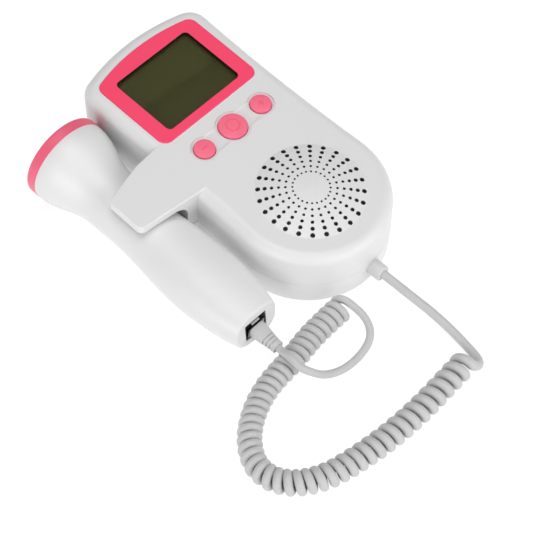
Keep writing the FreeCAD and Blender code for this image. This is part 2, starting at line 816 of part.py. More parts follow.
def speaker_cone():
    low = basket_floor + 2.2
    throat = speaker_radius * 0.3
    rim = speaker_radius - 3.8
    rise = basket_height - 1.4
    paper = cut(cone(0, speaker_y, low, throat, rim, rise),
                cone(0, speaker_y, low + 0.4, throat - 0.4, rim - 0.4, rise + 0.2))
    roll = cut(Part.makeTorus(rim - 0.2, 1.0, V(0, speaker_y, low + rise)),
               rod(0, speaker_y, low, 30, rise - 0.2))
    roll = roll.common(rod(0, speaker_y, low, speaker_radius - 3.1, rise + 2))
    cap = Part.makeSphere(10.0, V(0, speaker_y, low - 6.2))
    cap = cap.common(rod(0, speaker_y, low + 0.2, throat - 0.2, 8))
    return on_face(fuse(paper, roll, cap))


def speaker_magnet():
    plate = rod(0, speaker_y, magnet_top, speaker_radius / 2 - 1.5, basket_floor - magnet_top)
    magnet = rod(0, speaker_y, magnet_top - magnet_height, magnet_radius, magnet_height)
    low = -face_wall - speaker_depth
    back = rod(0, speaker_y, low, magnet_radius + 0.6, magnet_top - magnet_height - low)
    return on_face(fuse(plate, magnet, back))


# ---- lead at the unit ----
def strain_relief():
    """Collar outside the cover, and a flange that bears on the wall's inner side."""
    collar = rod_y(relief_x, relief_end, relief_z, relief_radius, relief_seat - relief_end + 0.5)
    tip = [edge for edge in round_edges(collar) if edge.BoundBox.YMax < relief_end + 0.1]
    collar = collar.makeFillet(0.8, tip)
    flange = rod_y(relief_x, relief_seat, relief_z, relief_flange, relief_flange_thick)
    return fuse(collar, flange)


def inner_tail():
    start = (relief_x, relief_seat + relief_flange_thick + tail_gap, relief_z)
    return tube((start,) + inner_route, tail_diameter / 2, "inner_tail")


# ---- lead outside ----
def unit_lead():
    start = ((relief_x, relief_end, relief_z), (relief_x, relief_end - relief_run, relief_z))
    return tube(start + lead_a_route, lead_diameter / 2, "unit_lead")


def coiled_lead():
    return tube([(x, y, coil_z) for x, y in coil_path], coil_diameter / 2, "coiled_lead")


def probe_lead():
    end = (on_boot_axis(boot_length + boot_run), on_boot_axis(boot_length))
    return tube(lead_b_route + end, lead_diameter / 2, "probe_lead")


# ---- probe ----
def probe_section(station, half, depth, power, inset):
    count = 32
    points = []
    for i in range(count):
        t = 2 * math.pi * i / count
        c = math.cos(t)
        s = math.sin(t)
        x = math.copysign(abs(c) ** (2 / power), c) * (half - inset)
        z = math.copysign(abs(s) ** (2 / power), s) * (depth - inset)
        points.append(V(x, -station, z))
    curve = Part.BSplineCurve()
    curve.interpolate(points, PeriodicFlag=True)
    return Part.Wire([curve.toShape()])


def probe_solid(inset):
    return Part.makeLoft([probe_section(s, a, c, p, inset) for s, a, c, p in probe_stations], True, False)


def past_end(inset):
    """Everything beyond the probe's leaning end face, or beyond a face at an inset from it."""
    block = box(-40, 40, -40, inset, -60, 60)
    block.rotate(V(0, 0, 0), V(1, 0, 0), -end_slope)
    block.translate(V(0, -probe_end, 0))
    return block


def end_edges(body):
    """Edges of a body that lie in the probe's end face."""
    found = []
    for edge in body.Edges:
        flat = edge.copy()
        flat.translate(V(0, probe_end, 0))
        flat.rotate(V(0, 0, 0), V(1, 0, 0), end_slope)
        if abs(flat.BoundBox.YMin) < 0.02 and abs(flat.BoundBox.YMax) < 0.02:
            found.append(edge)
    return found


def probe_shell():
    """Both halves in one, with a screw post across at each screw."""
    outer = probe_solid(0).cut(past_end(0))
    outer = outer.makeFillet(end_edge, end_edges(outer))
    inner = probe_solid(probe_wall).common(box(-30, 30, -probe_end - 5, 10, -30, 30)).cut(past_end(probe_wall))
    inner = cut(inner, *[rod(0, y, -30, boss_radius, 60) for y in probe_screw_ys])
    mouth = bar_y(socket_side, socket_rise, socket_width, socket_height, -probe_end - 7, -probe_end + 8, 0.6)
    line = box(-40, 40, -probe_end - 10, -ring_joint, probe_seam - seam_groove / 2, probe_seam + seam_groove / 2)
    groove = outer.common(line).cut(probe_solid(seam_groove))
    return cut(outer, inner, mouth, groove)


def probe_upper_shell():
    half = probe_shell().common(box(-40, 40, -probe_end - 10, 20, probe_seam, 40))
    pilots = [rod(0, y, probe_seam - 1, screw_shank + screw_hole_gap, 9) for y in probe_screw_ys]
    return on_probe(cut(half, *pilots))


def probe_lower_shell():
    half = probe_shell().common(box(-40, 40, -probe_end - 10, 20, -40, probe_seam))
    inside = probe_solid(probe_wall / 2)
    ribs = [box(-probe_board_half, probe_board_half, y, y + 1.5, -30, -probe_board_thick - 1.8).common(inside)
            for y in (probe_board_span[0] + 4, probe_board_span[1] - 6)]
    half = fuse(half, *ribs)
    for y in probe_screw_ys:
        half = cut(half, rod(0, y, -30, screw_head, 30 + probe_screw_seat),
                   rod(0, y, -30, screw_shank + 0.15, 40))
    return on_probe(half)


def probe_ring():
    outer = rod_y(0, -ring_joint, 0, ring_radius, ring_joint + ring_front)
    front = [edge for edge in round_edges(outer) if edge.BoundBox.YMin > ring_front - 0.01]
    outer = outer.makeFillet(ring_edge, front)
    tongue = rod_y(0, -ring_joint - tongue_length, 0, tongue_radius, tongue_length + 0.1)
    bore = rod_y(0, -20, 0, lens_radius, 40)
    return on_probe(fuse(outer, tongue).cut(bore))


def probe_lens():
    """Acoustic window: a thin disc, a little domed."""
    flat = ring_front - 0.2
    rim = lens_radius - lens_gap
    ball = (rim ** 2 + lens_dome ** 2) / (2 * lens_dome)
    disc = rod_y(0, -disc_thick, 0, rim, disc_thick + flat)
    bulge = Part.makeSphere(ball, V(0, flat + lens_dome - ball, 0)).common(rod_y(0, 0, 0, rim, 8))
    return on_probe(fuse(disc, bulge))


def transducer_discs():
    disc = rod_y(0, -2 * disc_thick, 0, disc_radius, disc_thick)
    return on_probe(disc.cut(box(-0.5, 0.5, -5, 5, -20, 20)))


def transducer_backing():
    pad = rod_y(0, -2 * disc_thick - backing_thick, 0, backing_radius, backing_thick)
    return on_probe(pad.cut(rod_y(0, -20, 0, 3.0, 30)))


def probe_board():
    low, high = probe_board_span
    return on_probe(box(-probe_board_half, probe_board_half, low, high, -probe_board_thick - 1.8, -1.8))


def probe_board_parts():
    chip = box(-3.5, 3.5, -70, -63, -1.8, -0.4)
    can = rod(4.5, -78, -1.8, 2.0, 4.2)
    coil = box(-6.5, -1.5, -86, -81, -1.8, 1.0)
    return on_probe(Part.makeCompound([chip, can, coil]))


def probe_wires():
    """Two wires from the discs, through the backing and past the first screw post, to the board."""
    discs = -2 * disc_thick
    end = probe_board_span[1] - 0.5
    aside = boss_radius + 1.4
    made = []
    for side in (-1, 1):
        route = ((1.6 * side, discs, 0.6), (1.9 * side, discs - backing_thick - 1.5, 0.5),
                 (aside * side, probe_screw_ys[0] + 12, 0.2), (aside * side, probe_screw_ys[0], -0.4),
                 (3.0 * side, end, -1.15))
        made.append(on_probe(tube(route, 0.6, "probe_wire")))
    return Part.makeCompound(made)


def probe_screws():
    low = probe_screw_seat - screw_head_height
    screws = [screw(0, y, low, screw_head - 0.3, screw_head_height, screw_shank, 11.0)
              for y in probe_screw_ys]
    return on_probe(Part.makeCompound(screws))


def jack_contact_boxes(half, z0, z1, y0, y1):
    made = []
    for i in range(contact_count):
        x = socket_side + (i - (contact_count - 1) / 2) * contact_pitch
        made.append(box(x - half, x + half, y0, y1, plug_rise + z0, plug_rise + z1))
    return made


def jack_back():
    return plug_start + plug_length + jack_gap


def jack_contacts():
    y = jack_back()
    return on_probe(Part.makeCompound(jack_contact_boxes(0.2, -1.2, -0.8, y, y + 3.0)))


def jack_housing():
    """Block behind the end wall, and a nose that fills the mouth."""
    half = socket_width / 2 + jack_wall
    top = socket_rise + socket_height / 2 + 0.6
    slope = math.radians(end_slope)
    start = -probe_end + probe_wall / math.cos(slope) + top * math.tan(slope)
    block = box(socket_side - half, socket_side + half, start, start + jack_length,
                2 * socket_rise - top, top)
    nose = bar_y(socket_side, socket_rise, socket_width - 2 * nose_gap, socket_height - 2 * nose_gap,
                 -probe_end - 3, start + 1, 0.5)
    block = fuse(block, nose.cut(past_end(nose_drop)))
    throat_half = plug_width / 2 + jack_gap
    throat_depth = plug_height / 2 + jack_gap
    throat = box(socket_side - throat_half, socket_side + throat_half, -probe_end - 4, jack_back(),
                 plug_rise - throat_depth, plug_rise + throat_depth)
    slot_half = latch_half + jack_gap
    slot = box(socket_side - slot_half, socket_side + slot_half, -probe_end - 4, jack_back(), plug_rise,
               plug_rise + throat_depth + latch_rise)
    y = jack_back()
    return on_probe(cut(block, throat, slot, *jack_contact_boxes(0.2, -1.2, -0.8, y - 1, y + 3.0)))


def plug_body():
    end = plug_start + plug_length
    body = bar_y(socket_side, plug_rise, plug_width, plug_height, plug_start, end, 0.3)
    slots = jack_contact_boxes(0.25, -plug_height, -2.2, end - 4.0, end + 1)
    return on_probe(cut(body, *slots))


def plug_contacts():
    end = plug_start + plug_length
    low = -plug_height / 2 + 0.2
    return on_probe(Part.makeCompound(jack_contact_boxes(0.15, low, -2.2, end - 3.9, end - 0.4)))


def plug_latch():
    """Springy tab on top of the plug, joined at its inner end."""
    top = plug_rise + plug_height / 2
    end = plug_start + plug_length - 0.4
    root = box(socket_side - latch_half, socket_side + latch_half, end - 2, end, top, top + 1.1)
    profile = ((end, top + 0.4), (end, top + 1.2),
               (plug_start + 0.6, top + latch_rise), (plug_start + 0.6, top + 0.95))
    tab = polygon(profile).extrude(V(0, 0, 2 * latch_half - 0.8))
    tab.rotate(V(0, 0, 0), V(1, 0, 0), 90)
    tab.rotate(V(0, 0, 0), V(0, 0, 1), 90)
    tab.translate(V(socket_side - latch_half + 0.4, 0, 0))
    return on_probe(fuse(root, tab))


def plug_boot():
    """Drooping, tapering boot with grooves that let its tip bend."""
    half = plug_width / 2 - boot_step
    deep = plug_height / 2 - boot_step / 2
    tip_half = lead_diameter / 2 + boot_wall
    # distance from the plug, half width, half depth, squareness; it starts a little inside the plug
    stations = ((-0.5, half, deep, 5.0), (boot_length * 0.25, half - 0.1, deep, 4.0),
                (boot_length * 0.55, (half + tip_half) / 2, deep, 3.0),
                (boot_length, tip_half, tip_half - 0.2, 2.6))
    boot = Part.makeLoft([probe_section(*station, 0.0) for station in stations], True, False)
    grooves = []
    for i in range(boot_grooves):
        y = groove_first + groove_pitch * i - boot_length
        core = bar_y(0, 0, 2 * tip_half - 0.8 + 0.3 * i, 2 * tip_half - 1.2, y - 1, y + 1, 1.2)
        grooves.append(cut(box(-6, 6, y - groove_width / 2, y + groove_width / 2, -5, 5), core))
    boot = cut(boot, *grooves)
    boot.rotate(V(0, 0, 0), V(1, 0, 0), boot_droop)
    boot.translate(V(socket_side, plug_start, plug_rise))
    return on_probe(boot.cut(box(-20, 20, plug_start, plug_start + 5, -20, 20)))


nodes = {
    "front_cover": front_cover,
    "rear_cover": rear_cover,
    "battery_door": battery_door,
    "display_bezel": display_bezel,
    "display_lens": display_lens,
    "display_panel": display_panel,
    "display_holder": display_holder,
    "main_board": main_board,
    "board_parts": board_parts,
    "board_screws": board_screws,
    "switch_housings": switch_housings,
    "left_button": lambda: button(-side_button_x, side_button_radius, minus_icon),
    "centre_button": lambda: button(0.0, centre_button_radius, ring_icon),
    "right_button": lambda: button(side_button_x, side_button_radius, plus_icon),
    "left_plunger": lambda: plunger(-side_button_x),
    "centre_plunger": lambda: plunger(0.0),
    "right_plunger": lambda: plunger(side_button_x),
    "speaker_frame": speaker_frame,
    "speaker_cone": speaker_cone,
    "speaker_magnet": speaker_magnet,
    "left_battery": lambda: battery(-cell_x),
    "right_battery": lambda: battery(cell_x),
    "contact_springs": contact_springs,
    "contact_plates": contact_plates,
    "cover_screws": cover_screws,
    "strain_relief": strain_relief,
    "inner_tail": inner_tail,
    "unit_lead": unit_lead,
    "coiled_lead": coiled_lead,
    "probe_lead": probe_lead,
    "probe_upper_shell": probe_upper_shell,
    "probe_lower_shell": probe_lower_shell,
    "probe_ring": probe_ring,
    "probe_lens": probe_lens,
    "transducer_discs": transducer_discs,
    "transducer_backing": transducer_backing,
    "probe_board": probe_board,
    "probe_board_parts": probe_board_parts,
    "probe_wires": probe_wires,
    "probe_screws": probe_screws,
    "jack_housing": jack_housing,
    "jack_contacts": jack_contacts,
    "plug_body": plug_body,
    "plug_contacts": plug_contacts,
    "plug_latch": plug_latch,
    "plug_boot": plug_boot,
}


def main():
    os.makedirs("parts", exist_ok=True)
    for name, make in nodes.items():
        shape = make().copy()
        shape.translate(V(home_x, home_y, 0))
        print(name, "solids", len(shape.Solids), "valid", shape.isValid(), "volume %.1f" % shape.Volume)
        shape.exportStep("parts/%s.step" % name)


main()
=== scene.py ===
import math

import bpy
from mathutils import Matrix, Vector


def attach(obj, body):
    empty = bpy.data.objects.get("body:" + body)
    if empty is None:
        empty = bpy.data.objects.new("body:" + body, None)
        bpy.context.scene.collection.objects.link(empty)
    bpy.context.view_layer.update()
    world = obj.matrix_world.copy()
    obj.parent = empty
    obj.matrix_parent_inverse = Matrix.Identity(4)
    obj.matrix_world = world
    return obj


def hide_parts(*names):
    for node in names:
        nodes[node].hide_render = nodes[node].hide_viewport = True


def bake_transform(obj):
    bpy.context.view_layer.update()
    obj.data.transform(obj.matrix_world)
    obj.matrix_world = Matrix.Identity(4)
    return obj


# Fetal doppler: the hand unit, the probe in its clip and the curly lead between them.
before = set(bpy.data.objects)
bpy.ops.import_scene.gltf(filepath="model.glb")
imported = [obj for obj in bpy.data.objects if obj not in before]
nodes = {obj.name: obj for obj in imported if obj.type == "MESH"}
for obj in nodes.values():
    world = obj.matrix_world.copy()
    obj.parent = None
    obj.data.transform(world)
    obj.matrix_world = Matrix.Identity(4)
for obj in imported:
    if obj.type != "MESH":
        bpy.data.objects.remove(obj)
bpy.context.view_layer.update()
print("frame:", len(nodes), "nodes")

mm = 0.001
scene = bpy.context.scene


def linkObject(name, data):
    made = bpy.data.objects.new(name, data)
    scene.collection.objects.link(made)
    return made


# place in metres, turn in degrees, lens and sensor in millimetres
camera = {"place": (-0.37503, -0.39558, 0.7421), "turn": (34.66, 0.0, -46.11), "lens": 134.3, "sensor": 36.0}

cameraData = bpy.data.cameras.new("camera")
cameraData.lens = camera["lens"]
cameraData.sensor_width = camera["sensor"]
cameraObject = linkObject("camera", cameraData)
cameraObject.location = camera["place"]
cameraObject.rotation_euler = [math.radians(a) for a in camera["turn"]]
scene.camera = cameraObject
print("camera: %.1f mm lens" % cameraData.lens)


def linear(code):
    # sRGB hex to the linear colour that a shader takes
    parts = [int(code[i:i + 2], 16) / 255 for i in (1, 3, 5)]
    return [c / 12.92 if c <= 0.04045 else ((c + 0.055) / 1.055) ** 2.4 for c in parts] + [1.0]


def addNode(tree, kind, settings=None, **links):
    # a node with its settings, and its inputs linked to a socket or to a node's first output, or set to a value;
    # n3 is the input numbered 3
    node = tree.nodes.new(kind)
    for name, value in (settings or {}).items():
        setattr(node, name, value)
    for name, value in links.items():
        numbered = name[0] == "n" and name[1:].isdigit()
        socket = node.inputs[int(name[1:])] if numbered else node.inputs[name.replace("_", " ")]
        if isinstance(value, bpy.types.Node):
            value = value.outputs[0]
        if isinstance(value, bpy.types.NodeSocket):
            tree.links.new(value, socket)
        else:
            socket.default_value = value
    return node


def plainMesh(holder, name):
    # the evaluated shape of a curve or a modifier's object, as a mesh of its own with smooth faces
    depsgraph = bpy.context.evaluated_depsgraph_get()
    mesh = bpy.data.meshes.new_from_object(holder.evaluated_get(depsgraph))
    bpy.data.objects.remove(holder)
    mesh.name = name
    for polygon in mesh.polygons:
        polygon.use_smooth = True
    return linkObject(name, mesh)


def routeCurve(route, resolution, widths=None):
    # a smooth open curve with the route's points as its control points, as thick as the widths say
    curve = bpy.data.curves.new("route", "CURVE")
    curve.dimensions = "3D"
    curve.resolution_u = resolution
    spline = curve.splines.new("NURBS")
    spline.points.add(len(route) - 1)
    for i, place in enumerate(route):
        spline.points[i].co = (*place, 1.0)
        spline.points[i].radius = widths[i] if widths else 1.0
    spline.order_u = 3
    spline.use_endpoint_u = True
    return curve


def splinePoints(route, resolution):
    # the points of the NURBS spline that has the route's points as its control points
    curve = routeCurve(route, resolution)
    holder = bpy.data.objects.new("line", curve)
    mesh = bpy.data.meshes.new_from_object(holder)
    points = [v.co.copy() for v in mesh.vertices]
    bpy.data.objects.remove(holder)
    bpy.data.meshes.remove(mesh)
    bpy.data.curves.remove(curve)
    return points


# The routes' points are those of the CAD leads, moved a little by the coil's ends, to where its first turn begins
# and its last one runs out over the top. The curly stretch is wound round its own route.
lead = {
    "diameter": 3.9 * mm,
    "widths": (1.05, 0.98, 0.92),     # share of the diameter from the unit, in the coil and to the probe
    "coilDiameter": 12.3 * mm,
    "pulledBy": 1.2 * mm,             # the coil is this much slimmer in its bend
    "pulledAt": (0.58, 0.22),         # middle and half length of that stretch, as shares of the coil
    "turns": 47,
    "pointsPerTurn": 12,
    "steps": 3,                       # points of the drawn cord for each of its control points
    "roundness": 5,                   # of the cord's cross-section
    "coilSteps": 24,                  # points of the coil's route for each of its control points
    "firstPoint": 20.0,               # degrees above the outer side
    "lastPoints": 1,                  # past the whole turns
    "loose": 0.38,                    # how much wider the first turns are spaced
    "fat": 0.20,                      # how much thicker the cord is there
    "fade": 0.32,                     # over this share of the coil
    "fromUnit": ((0.0226, -0.0826, 0.0105), (0.0226, -0.0891, 0.0105), (0.0231, -0.0983, 0.0091),
                 (0.0241, -0.1083, 0.0073), (0.0243, -0.1183, 0.0054), (0.0240, -0.1263, 0.0038),
                 (0.0233, -0.1345, 0.0021), (0.0222, -0.1392, 0.0021), (0.0193, -0.1414, 0.0032)),
    "coil": ((0.0150, -0.1369, 0.0058), (-0.0004, -0.1379, 0.0058), (-0.0179, -0.1387, 0.0058),
             (-0.0354, -0.1380, 0.0058), (-0.0534, -0.1355, 0.0058), (-0.0694, -0.1315, 0.0058),
             (-0.0814, -0.1223, 0.0058), (-0.0850, -0.1098, 0.0058), (-0.0788, -0.0979, 0.0058),
             (-0.0674, -0.0891, 0.0058), (-0.0529, -0.0836, 0.0058), (-0.0359, -0.0824, 0.0058),
             (-0.0179, -0.0793, 0.0058), (-0.0007, -0.0794, 0.0058)),
    "toProbe": ((0.0006, -0.0793, 0.0111), (0.0014, -0.0850, 0.0097), (0.0016, -0.0905, 0.0081),
                (-0.0002, -0.0957, 0.0064), (-0.0042, -0.0992, 0.0051), (-0.0104, -0.1008, 0.0039),
                (-0.0179, -0.1008, 0.0026), (-0.0249, -0.0995, 0.0028), (-0.0310, -0.0971, 0.0049),
                (-0.0350, -0.0957, 0.0091), (-0.0395, -0.0910, 0.0134), (-0.0393, -0.0858, 0.0145),
                (-0.0391, -0.0830, 0.0140), (-0.0378, -0.0782, 0.0114), (-0.0378, -0.07606, 0.01161)),
}


def coilTurns(settings):
    # control points of the turns, right-handed round the coil's own route and resting on the floor, and the cord's
    # width at each of them
    line = splinePoints(settings["coil"], settings["coilSteps"])
    lengths = [0.0]
    for a, b in zip(line, line[1:]):
        lengths.append(lengths[-1] + (b - a).length)
    # a control polygon lies outside the spline it gives, by this share
    outside = 2 / (1 + math.cos(math.pi / settings["pointsPerTurn"]) ** 2)
    count = settings["turns"] * settings["pointsPerTurn"] + settings["lastPoints"]
    middle, stretch = settings["pulledAt"]
    fade = settings["fade"]
    extra = settings["loose"] * fade * math.sqrt(math.pi) / 2
    up = Vector((0, 0, 1))
    points, widths = [], []
    for i in range(count + 1):
        share = i / count
        spaced = share + extra * math.erf(share / fade)
        along = spaced / (1 + extra * math.erf(1 / fade)) * lengths[-1]
        k = next((j for j in range(1, len(line)) if lengths[j] >= along), len(line) - 1)
        a, b = line[k - 1], line[k]
        centre = a.lerp(b, (along - lengths[k - 1]) / (lengths[k] - lengths[k - 1]))
        across = settings["coilDiameter"] - settings["pulledBy"] * math.exp(-((share - middle) / stretch) ** 2)
        centre.z = across / 2
        width = settings["widths"][1] * (1 + settings["fat"] * math.exp(-(share / fade) ** 2))
        radius = (across - settings["diameter"] * width) / 2 * outside
        side = up.cross((b - a).normalized()).normalized()
        # 0 is the outer side of the first turn, and the cord climbs from there over the top
        turn = 2 * math.pi * i / settings["pointsPerTurn"] + math.radians(settings["firstPoint"])
        points.append(centre + radius * (math.cos(turn) * side + math.sin(turn) * up))
        widths.append(width)
    return points, widths


coilPoints, coilWidths = coilTurns(lead)
leadRoute = [Vector(p) for p in lead["fromUnit"]] + coilPoints + [Vector(p) for p in lead["toProbe"]]
leadWidths = [lead["widths"][0]] * len(lead["fromUnit"]) + coilWidths + [lead["widths"][2]] * len(lead["toProbe"])
leadPath = splinePoints(leadRoute, lead["steps"])
leadCurve = routeCurve(leadRoute, lead["steps"], leadWidths)
leadCurve.bevel_depth = lead["diameter"] / 2
leadCurve.bevel_resolution = lead["roundness"]
leadCurve.use_fill_caps = True
curlyLead = plainMesh(linkObject("leadHolder", leadCurve), "curly_lead")

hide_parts("unit_lead", "coiled_lead", "probe_lead")
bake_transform(curlyLead)


# the front cover's face: where the loudspeaker's axis meets its plane, and the plane's tilt in degrees
face = {"middle": (20.575 * mm, -40.035 * mm, 34.4 * mm), "tilt": 4.45}

# Grey dust cloth, plain woven, that lies under the domed grille on the loudspeaker's rim.
cloth = {
    "radius": 23.3 * mm,
    "pitch": 1.0 * mm,              # real cloth has 0.3 mm; coarser here, so that it shows through the holes
    "thread": 0.42 * mm,
    "wave": 0.16 * mm,              # how far a thread rises over the ones it crosses
    "ball": 98.9 * mm,              # radius of the grille's dome at the cloth
    "crown": 0.55 * mm,             # cloth's middle over the face's plane
    "points": 96,                   # along each thread
    "sides": 4,                     # round each thread
}


def setInput(modifier, tree, name, value):
    # a modifier knows its tree's inputs by their identifiers
    for item in tree.interface.items_tree:
        if item.item_type == "SOCKET" and item.in_out == "INPUT" and item.name == name:
            modifier[item.identifier] = value


def clothTree(settings, paint):
    # a tree whose inputs are the cloth's settings by name
    tree = bpy.data.node_groups.new("wovenCloth", "GeometryNodeTree")
    for name, value in settings.items():
        kind = "NodeSocketInt" if isinstance(value, int) else "NodeSocketFloat"
        tree.interface.new_socket(name=name.capitalize(), in_out="INPUT", socket_type=kind)
    tree.interface.new_socket(name="Geometry", in_out="OUTPUT", socket_type="NodeSocketGeometry")
    size = addNode(tree, "NodeGroupInput").outputs
    place = addNode(tree, "GeometryNodeInputPosition")
    maths, vectors, axes = "ShaderNodeMath", "ShaderNodeVectorMath", "ShaderNodeCombineXYZ"
    times, over, plus, less, root = [{"operation": o} for o in ("MULTIPLY", "DIVIDE", "ADD", "SUBTRACT", "SQRT")]

    # threads side by side, each as long as the round cloth is there
    shortest = 1e-7    # square of half a thread's length at the rim, so that none has no length
    pitches = addNode(tree, maths, over, n0=size["Radius"], n1=size["Pitch"])
    steps = addNode(tree, maths, {"operation": "FLOOR"}, n0=pitches)
    count = addNode(tree, maths, {"operation": "MULTIPLY_ADD"}, n0=steps, n1=2.0, n2=1.0)
    width = addNode(tree, maths, times, n0=steps, n1=size["Pitch"])
    first = addNode(tree, axes, X=addNode(tree, maths, times, n0=width, n1=-1.0))
    step = addNode(tree, axes, X=size["Pitch"])
    row = addNode(tree, "GeometryNodeMeshLine", {"mode": "OFFSET"}, Count=count, Start_Location=first, Offset=step)
    away = addNode(tree, vectors, {"operation": "DOT_PRODUCT"}, n0=place, n1=place).outputs["Value"]
    rim = addNode(tree, maths, times, n0=size["Radius"], n1=size["Radius"])
    left = addNode(tree, maths, less, n0=rim, n1=away)
    chord = addNode(tree, maths, root, n0=addNode(tree, maths, {"operation": "MAXIMUM"}, n0=left, n1=shortest))
    stretch = addNode(tree, axes, X=1.0, Y=chord, Z=1.0)
    strand = addNode(tree, "GeometryNodeCurvePrimitiveLine", Start=(0, -1, 0), End=(0, 1, 0))
    strand = addNode(tree, "GeometryNodeResampleCurve", Curve=strand, Count=size["Points"])
    laid = addNode(tree, "GeometryNodeInstanceOnPoints", Points=row, Instance=strand, Scale=stretch)
    warp = addNode(tree, "GeometryNodeRealizeInstances", Geometry=laid)
    weft = addNode(tree, "GeometryNodeTransform", Geometry=warp, Rotation=(0, 0, math.pi / 2))

    # over and under the crossing threads, on the dome
    rate = addNode(tree, maths, over, n0=math.pi, n1=size["Pitch"])
    angles = addNode(tree, vectors, {"operation": "SCALE"}, n0=place, Scale=rate)
    swing = addNode(tree, "ShaderNodeSeparateXYZ", Vector=addNode(tree, vectors, {"operation": "COSINE"}, n0=angles))
    crossing = addNode(tree, maths, times, n0=swing.outputs["X"], n1=swing.outputs["Y"])
    wave = addNode(tree, maths, times, n0=crossing, n1=size["Wave"])
    ball = addNode(tree, maths, times, n0=size["Ball"], n1=size["Ball"])
    arch = addNode(tree, maths, root, n0=addNode(tree, maths, less, n0=ball, n1=away))
    dome = addNode(tree, maths, plus, n0=addNode(tree, maths, less, n0=arch, n1=size["Ball"]), n1=size["Crown"])
    both = addNode(tree, "GeometryNodeJoinGeometry")
    for threads, side in ((warp, plus), (weft, less)):
        lift = addNode(tree, axes, Z=addNode(tree, maths, side, n0=dome, n1=wave))
        raised = addNode(tree, "GeometryNodeSetPosition", Geometry=threads, Offset=lift)
        tree.links.new(raised.outputs[0], both.inputs[0])

    half = addNode(tree, maths, over, n0=size["Thread"], n1=2.0)
    ring = addNode(tree, "GeometryNodeCurvePrimitiveCircle", Resolution=size["Sides"], Radius=half)
    tubes = addNode(tree, "GeometryNodeCurveToMesh", Curve=both, Profile_Curve=ring, Fill_Caps=True)
    single = addNode(tree, "GeometryNodeRealizeInstances", Geometry=tubes)
    painted = addNode(tree, "GeometryNodeSetMaterial", Geometry=single, Material=paint)
    addNode(tree, "NodeGroupOutput", Geometry=painted)
    return tree


def wovenCloth(settings, paint):
    # the tree's cloth as a mesh, laid in the face's plane
    tree = clothTree(settings, paint)
    holder = linkObject("clothHolder", bpy.data.meshes.new("clothHolder"))
    modifier = holder.modifiers.new("weave", "NODES")
    modifier.node_group = tree
    for name, value in settings.items():
        setInput(modifier, tree, name.capitalize(), value)
    piece = plainMesh(holder, "grille_cloth")
    piece.rotation_euler.x = math.radians(face["tilt"])
    piece.location = face["middle"]
    bpy.context.view_layer.update()
    piece.data.transform(piece.matrix_world)
    piece.rotation_euler.x = 0.0
    piece.location = (0, 0, 0)
    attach(piece, "monitor")
    print("cloth:", len(piece.data.polygons), "faces")


studio = {
    "floorEdge": 3.0,                 # metres from the middle
    "floor": "#959595",
    "floorRoughness": 0.9,
    "floorSpecular": 0.1,
    "glow": "#FFFFFF",                # from under the floor and from all round
    "floorGlow": 0.82,
    "air": 0.30,                      # how bright it is all round
    # each lamp's place, size and power; all of them look at the object
    "lamps": {"topLight": ((0.0, 0.0, 1.3), 0.8, 7.2), "frontLight": ((0.25, -1.2, 0.45), 1.0, 7.2),
              "leftLight": ((-1.2, -0.3, 0.3), 0.8, 6.7), "rightLight": ((0.9, -0.7, 0.7), 0.8, 0.8)},
}

edge = studio["floorEdge"]
floorMesh = bpy.data.meshes.new("floor")
floorMesh.from_pydata([(-edge, -edge, 0), (edge, -edge, 0), (edge, edge, 0), (-edge, edge, 0)], [], [(0, 1, 2, 3)])
floor = linkObject("floor", floorMesh)
# matt translucent board lit from under, as on a light table: it is white, and shadows on it stay faint
lightBoard = bpy.data.materials.new("lightBoard")
lightBoard.use_nodes = True
boardShader = lightBoard.node_tree.nodes["Principled BSDF"].inputs
boardShader["Base Color"].default_value = linear(studio["floor"])
boardShader["Roughness"].default_value = studio["floorRoughness"]
boardShader["Specular IOR Level"].default_value = studio["floorSpecular"]
boardShader["Emission Color"].default_value = linear(studio["glow"])
boardShader["Emission Strength"].default_value = studio["floorGlow"]
floorMesh.materials.append(lightBoard)

world = bpy.data.worlds.new("studio")
world.use_nodes = True
airShader = world.node_tree.nodes["Background"].inputs
airShader["Color"].default_value = linear(studio["glow"])
airShader["Strength"].default_value = studio["air"]
scene.world = world
scene.view_settings.view_transform = "Standard"

for name, (place, size, power) in studio["lamps"].items():
    lampData = bpy.data.lights.new(name, "AREA")
    lampData.size = size
    lampData.energy = power
    lamp = linkObject(name, lampData)
    lamp.location = place
    lamp.rotation_euler = (-Vector(place)).to_track_quat("-Z", "Y").to_euler()
print("studio:", len(studio["lamps"]), "lamps")


def finish(name, colour, second, patch, roughness, spread, grain, depth, more):
    # a moulded, pressed or cast surface: slow patches of a second tone, gloss that varies by the spread and a fine
    # grain in relief; patch, grain and depth are in millimetres, and more holds what else the shader is set to
    material = bpy.data.materials.new(name)
    material.use_nodes = True
    tree = material.node_tree
    shader = tree.nodes["Principled BSDF"]
    for socket, value in more.items():
        shader.inputs[socket].default_value = value
    place = addNode(tree, "ShaderNodeTexCoord").outputs["Object"]
    slow = addNode(tree, "ShaderNodeTexNoise", Vector=place, Scale=1 / (patch * mm), Detail=3.0)
    tone = addNode(tree, "ShaderNodeMix", {"data_type": "RGBA"}, Factor=slow.outputs["Fac"], n6=linear(colour),
                   n7=linear(second))
    tree.links.new(tone.outputs[2], shader.inputs["Base Color"])
    fine = addNode(tree, "ShaderNodeTexNoise", Vector=place, Scale=1 / (grain * mm), Detail=2.0, Roughness=0.6)
    gloss = addNode(tree, "ShaderNodeMapRange", Value=slow.outputs["Fac"], To_Min=roughness - spread,
                    To_Max=roughness + spread)
    tree.links.new(gloss.outputs["Result"], shader.inputs["Roughness"])
    relief = addNode(tree, "ShaderNodeBump", Height=fine.outputs["Fac"], Strength=1.0, Distance=depth * mm)
    tree.links.new(relief.outputs["Normal"], shader.inputs["Normal"])
    return material


